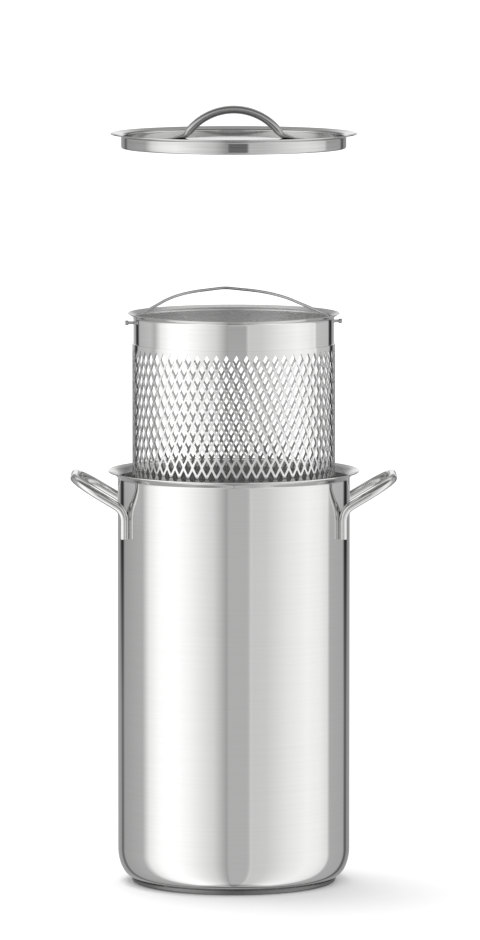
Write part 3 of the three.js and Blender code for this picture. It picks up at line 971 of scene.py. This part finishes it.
stub_end = BAND_RADIUS + BAIL_STUB
half_bail = [
    ((-stub_end, 0, 0), 0, HEAD_TIP, HEAD_TIP),
    ((HEAD_EDGE - stub_end, 0, 0), 0, HEAD_SWELL, HEAD_SWELL),
    ((HEAD_LENGTH - stub_end, 0, 0), 0, HEAD_SWELL, HEAD_SWELL),
    ((HEAD_LENGTH + HEAD_EDGE - stub_end, 0, 0), 0, 1, 1),
    ((-BAIL_HALF_SPAN, 0, 0), BAIL_BEND, 1, 1),
    ((-BAIL_HALF_SPAN, 0, BAIL_KNEE), KNEE_BEND, 1, 1),
    ((-BAIL_SHOULDER, 0, BAIL_RISE - BAIL_ROOF), SHOULDER_BEND, 1, 1),
]
bail_top = [((0, 0, BAIL_RISE), POINT_BEND, 1, 1)]
bail_place = BASKET_TURN @ Matrix.Translation((0, 0, PIVOT_HEIGHT)) @ BAIL_LEAN
bail = rod("bail", half_bail + bail_top + other_half(half_bail), WIRE_RADIUS, wire_steel, bail_place)
finished(bail, wire_steel, "bail", "basket_bail")

# %% [markdown]
# Floor and studio
#
# Polished steel shows its surroundings more than itself, so the studio is what makes the picture.
# Tall white panels stand to the left and right, with dark gaps at their ends, and the room behind
# the camera is a dim stripe. Most of it runs from the floor to the ceiling, so a ramp over the
# compass angle can stand for it. Only mirrors see this room. To the camera and to the floor the
# world is plain white.

# %% The floor
FLOOR_HALF = 45
FLOOR_DROP = 0.2 * MM
PAPER_TONE = 0.9

floor_mesh = bpy.data.meshes.new("studio_floor")
sides = (-1, -1), (1, -1), (1, 1), (-1, 1)
corners = [(FLOOR_HALF * x, FLOOR_HALF * y, -FLOOR_DROP) for x, y in sides]
floor_mesh.from_pydata(corners, [], [(0, 1, 2, 3)])
studio_floor = placed("studio_floor", floor_mesh)
studio_floor.visible_glossy = False

pale_paper = bpy.data.materials.new("pale_paper")
pale_paper.use_nodes = True
paper = pale_paper.node_tree.nodes["Principled BSDF"]
paper.inputs["Base Color"].default_value = (PAPER_TONE, PAPER_TONE, PAPER_TONE, 1)
paper.inputs["Roughness"].default_value = 1
paper.inputs["Specular IOR Level"].default_value = 0
floor_mesh.materials.append(pale_paper)
print("the floor is", 2 * FLOOR_HALF, "metres wide")

# %% Panels round the pot
# Each stop is a compass angle in degrees, with zero at the front, and a tone.
PANELS = [
    (-180, 0.42), (-157, 0.40), (-151, 0.36), (-148, 0.17), (-145, 0.17), (-142, 0.30), (-140, 0.44),
    (-103, 0.58), (-93, 1.14), (-80, 1.40), (-62, 1.50), (-45, 1.30), (-20, 0.90), (-7, 0.48),
    (-5, 0.60), (13, 0.60), (15, 0.64), (16.5, 0.84), (19, 0.79), (32, 0.82), (55, 1.08), (78, 1.25),
    (94, 1.18), (107, 1.0), (111, 0.56), (139, 0.50), (141.5, 0.42), (144.5, 0.15), (149, 0.13),
    (153, 0.32), (180, 0.42),
]
FULL_TURN = 360
RAMP_MIDDLE = 0.5

world = bpy.data.worlds.new("studio")
scene.world = world
world.use_nodes = True
studio = world.node_tree
studio.nodes.clear()
looking = add(studio, "ShaderNodeTexCoord").outputs["Generated"]
direction = add(studio, "ShaderNodeSeparateXYZ", {"Vector": looking}).outputs
towards_front = calculate(studio, "MULTIPLY", direction["Y"], -1.0)
compass = calculate(studio, "ARCTAN2", direction["X"], towards_front)
along = calculate(studio, "ADD", calculate(studio, "DIVIDE", compass, math.tau), RAMP_MIDDLE)
ramp = add(studio, "ShaderNodeValToRGB", {"Fac": along})
while len(ramp.color_ramp.elements) < len(PANELS):
    ramp.color_ramp.elements.new(RAMP_MIDDLE)
for element, (degrees, tone) in zip(ramp.color_ramp.elements, PANELS):
    element.position = degrees / FULL_TURN + RAMP_MIDDLE
    element.color = (tone, tone, tone, 1)
print("studio has", len(PANELS), "stops round the pot")

# %% [markdown]
# What differs with height
#
# A second step gives the room its heights. A pair of angles over the horizon says where a tone
# fades in. The dim stripe ends a little over and under the horizon. Just under it the gaps are
# darker and the panels behind the pot brighter. The ground is darker than the panels, and the
# ceiling is dim. Two bright fields stand behind the pot, a low sweep and a high backdrop, which flat
# faces and insides mirror. How far a direction points to the back says where they end sideways.

# %% Stripe, gaps and ground
STRIPE_MIDDLE = math.radians(4.5)
STRIPE_SIDE = math.radians(10.5), math.radians(9.5)
STRIPE_FOOT = -5.1, -2.9
STRIPE_TOP = 4, 8
STRIPE_DIM = 0.12
GAP_START = math.radians(139), math.radians(144)
GAP_END = math.radians(151), math.radians(157)
GAP_FOOT = -7.5, -6.3
GAP_TOP = -4.3, -3.7
GAP_DIM = 0.18
SIDE_START = math.radians(103), math.radians(112)
SIDE_FOOT = -6.2, -5.6
SIDE_LIFT = 1.28
GROUND_TOP = -70, -80
GROUND = 0.5


def rising(limits):
    """How far the view has gone from one angle over the horizon to another, in degrees."""
    low, high = [math.sin(math.radians(limit)) for limit in limits]
    return between(studio, direction["Z"], low, high)


def stretch_between(entering, leaving):
    """One after a first limit and before a second one."""
    return calculate(studio, "SUBTRACT", entering, leaving)


def toned(tones, around, upright, tone):
    """Tones times another one where the share round the pot and the share in height are both one."""
    share = calculate(studio, "MULTIPLY", around, upright)
    return calculate(studio, "MULTIPLY", tones, mixed(studio, share, 1.0, tone))


off_stripe = calculate(studio, "ABSOLUTE", calculate(studio, "SUBTRACT", compass, STRIPE_MIDDLE))
in_stripe = between(studio, off_stripe, *STRIPE_SIDE)
at_horizon = stretch_between(rising(STRIPE_FOOT), rising(STRIPE_TOP))
walls = toned(ramp.outputs["Color"], in_stripe, at_horizon, STRIPE_DIM)

off_front = calculate(studio, "ABSOLUTE", compass)
in_gap = stretch_between(between(studio, off_front, *GAP_START), between(studio, off_front, *GAP_END))
walls = toned(walls, in_gap, stretch_between(rising(GAP_FOOT), rising(GAP_TOP)), GAP_DIM)
at_side = between(studio, off_front, *SIDE_START)
walls = toned(walls, at_side, stretch_between(rising(SIDE_FOOT), rising(GAP_TOP)), SIDE_LIFT)
walls = calculate(studio, "MULTIPLY", walls, mixed(studio, rising(GROUND_TOP), 1.0, GROUND))
print("walls take", len(studio.nodes), "nodes")

# %% Ceiling, sweep and backdrop
CEILING_START = 25, 50
CEILING = 0.2
SWEEP_FOOT = 2.4, 3.2
SWEEP_TOP = 8, 16
SWEEP_SIDE = 0.85, 0.95
SWEEP = 1.0
BACKDROP_FOOT = 35, 50
BACKDROP_SIDE = 0.2, 0.4
BACKDROP = 0.9

room = mixed(studio, rising(CEILING_START), walls, CEILING)
low_down = stretch_between(rising(SWEEP_FOOT), rising(SWEEP_TOP))
low_behind = calculate(studio, "MULTIPLY", between(studio, direction["Y"], *SWEEP_SIDE), low_down)
room = mixed(studio, low_behind, room, SWEEP)
behind = between(studio, direction["Y"], *BACKDROP_SIDE)
high_behind = calculate(studio, "MULTIPLY", behind, rising(BACKDROP_FOOT))
room = mixed(studio, high_behind, room, BACKDROP)
mirrored = add(studio, "ShaderNodeBackground", {"Color": room}).outputs[0]
white = add(studio, "ShaderNodeBackground", {"Color": (1, 1, 1, 1)}).outputs[0]
by_mirror = add(studio, "ShaderNodeLightPath").outputs["Is Glossy Ray"]
shown = add(studio, "ShaderNodeMixShader", {0: by_mirror, 1: white, 2: mirrored}).outputs[0]
add(studio, "ShaderNodeOutputWorld", {"Surface": shown})
world.cycles.sampling_method = "NONE"
print("the whole studio takes", len(studio.nodes), "nodes")

# %% [markdown]
# Key light and camera
#
# One broad light from the upper left lifts the floor to white and lays a soft shadow to the right
# of the base. It is kept out of the reflections, which the panels already fill. The camera stands
# five metres away with a long lens and looks down by about six degrees, as the ellipses of the lip,
# the basket and the lid show.

# %% The key light
KEY_STRENGTH = 1.25
KEY_SPREAD = math.radians(28)
KEY_TILT = math.radians(-12), math.radians(-9)

key = bpy.data.lights.new("key", "SUN")
key.energy = KEY_STRENGTH
key.angle = KEY_SPREAD
key_light = placed("key", key)
key_light.rotation_euler = (*KEY_TILT, 0)
key_light.visible_glossy = False
key_light.visible_camera = False
print("key light of", KEY_STRENGTH, "watts per square metre")

# %% The camera
EYE_DISTANCE = 5.376
EYE_PITCH = math.radians(5.76)
LENS = 298.84
TARGET = Vector((4.3 * MM, 0, 285.11 * MM))
FAR = 300

camera = bpy.data.cameras.new("camera")
camera.lens = LENS
camera.clip_end = FAR
photographer = placed("camera", camera)
photographer.location = TARGET + EYE_DISTANCE * Vector((0, -math.cos(EYE_PITCH), math.sin(EYE_PITCH)))
photographer.rotation_euler = (math.pi / 2 - EYE_PITCH, 0, 0)
scene.camera = photographer
scene.view_settings.view_transform = "Standard"
print("camera at", [round(value, 3) for value in photographer.location])
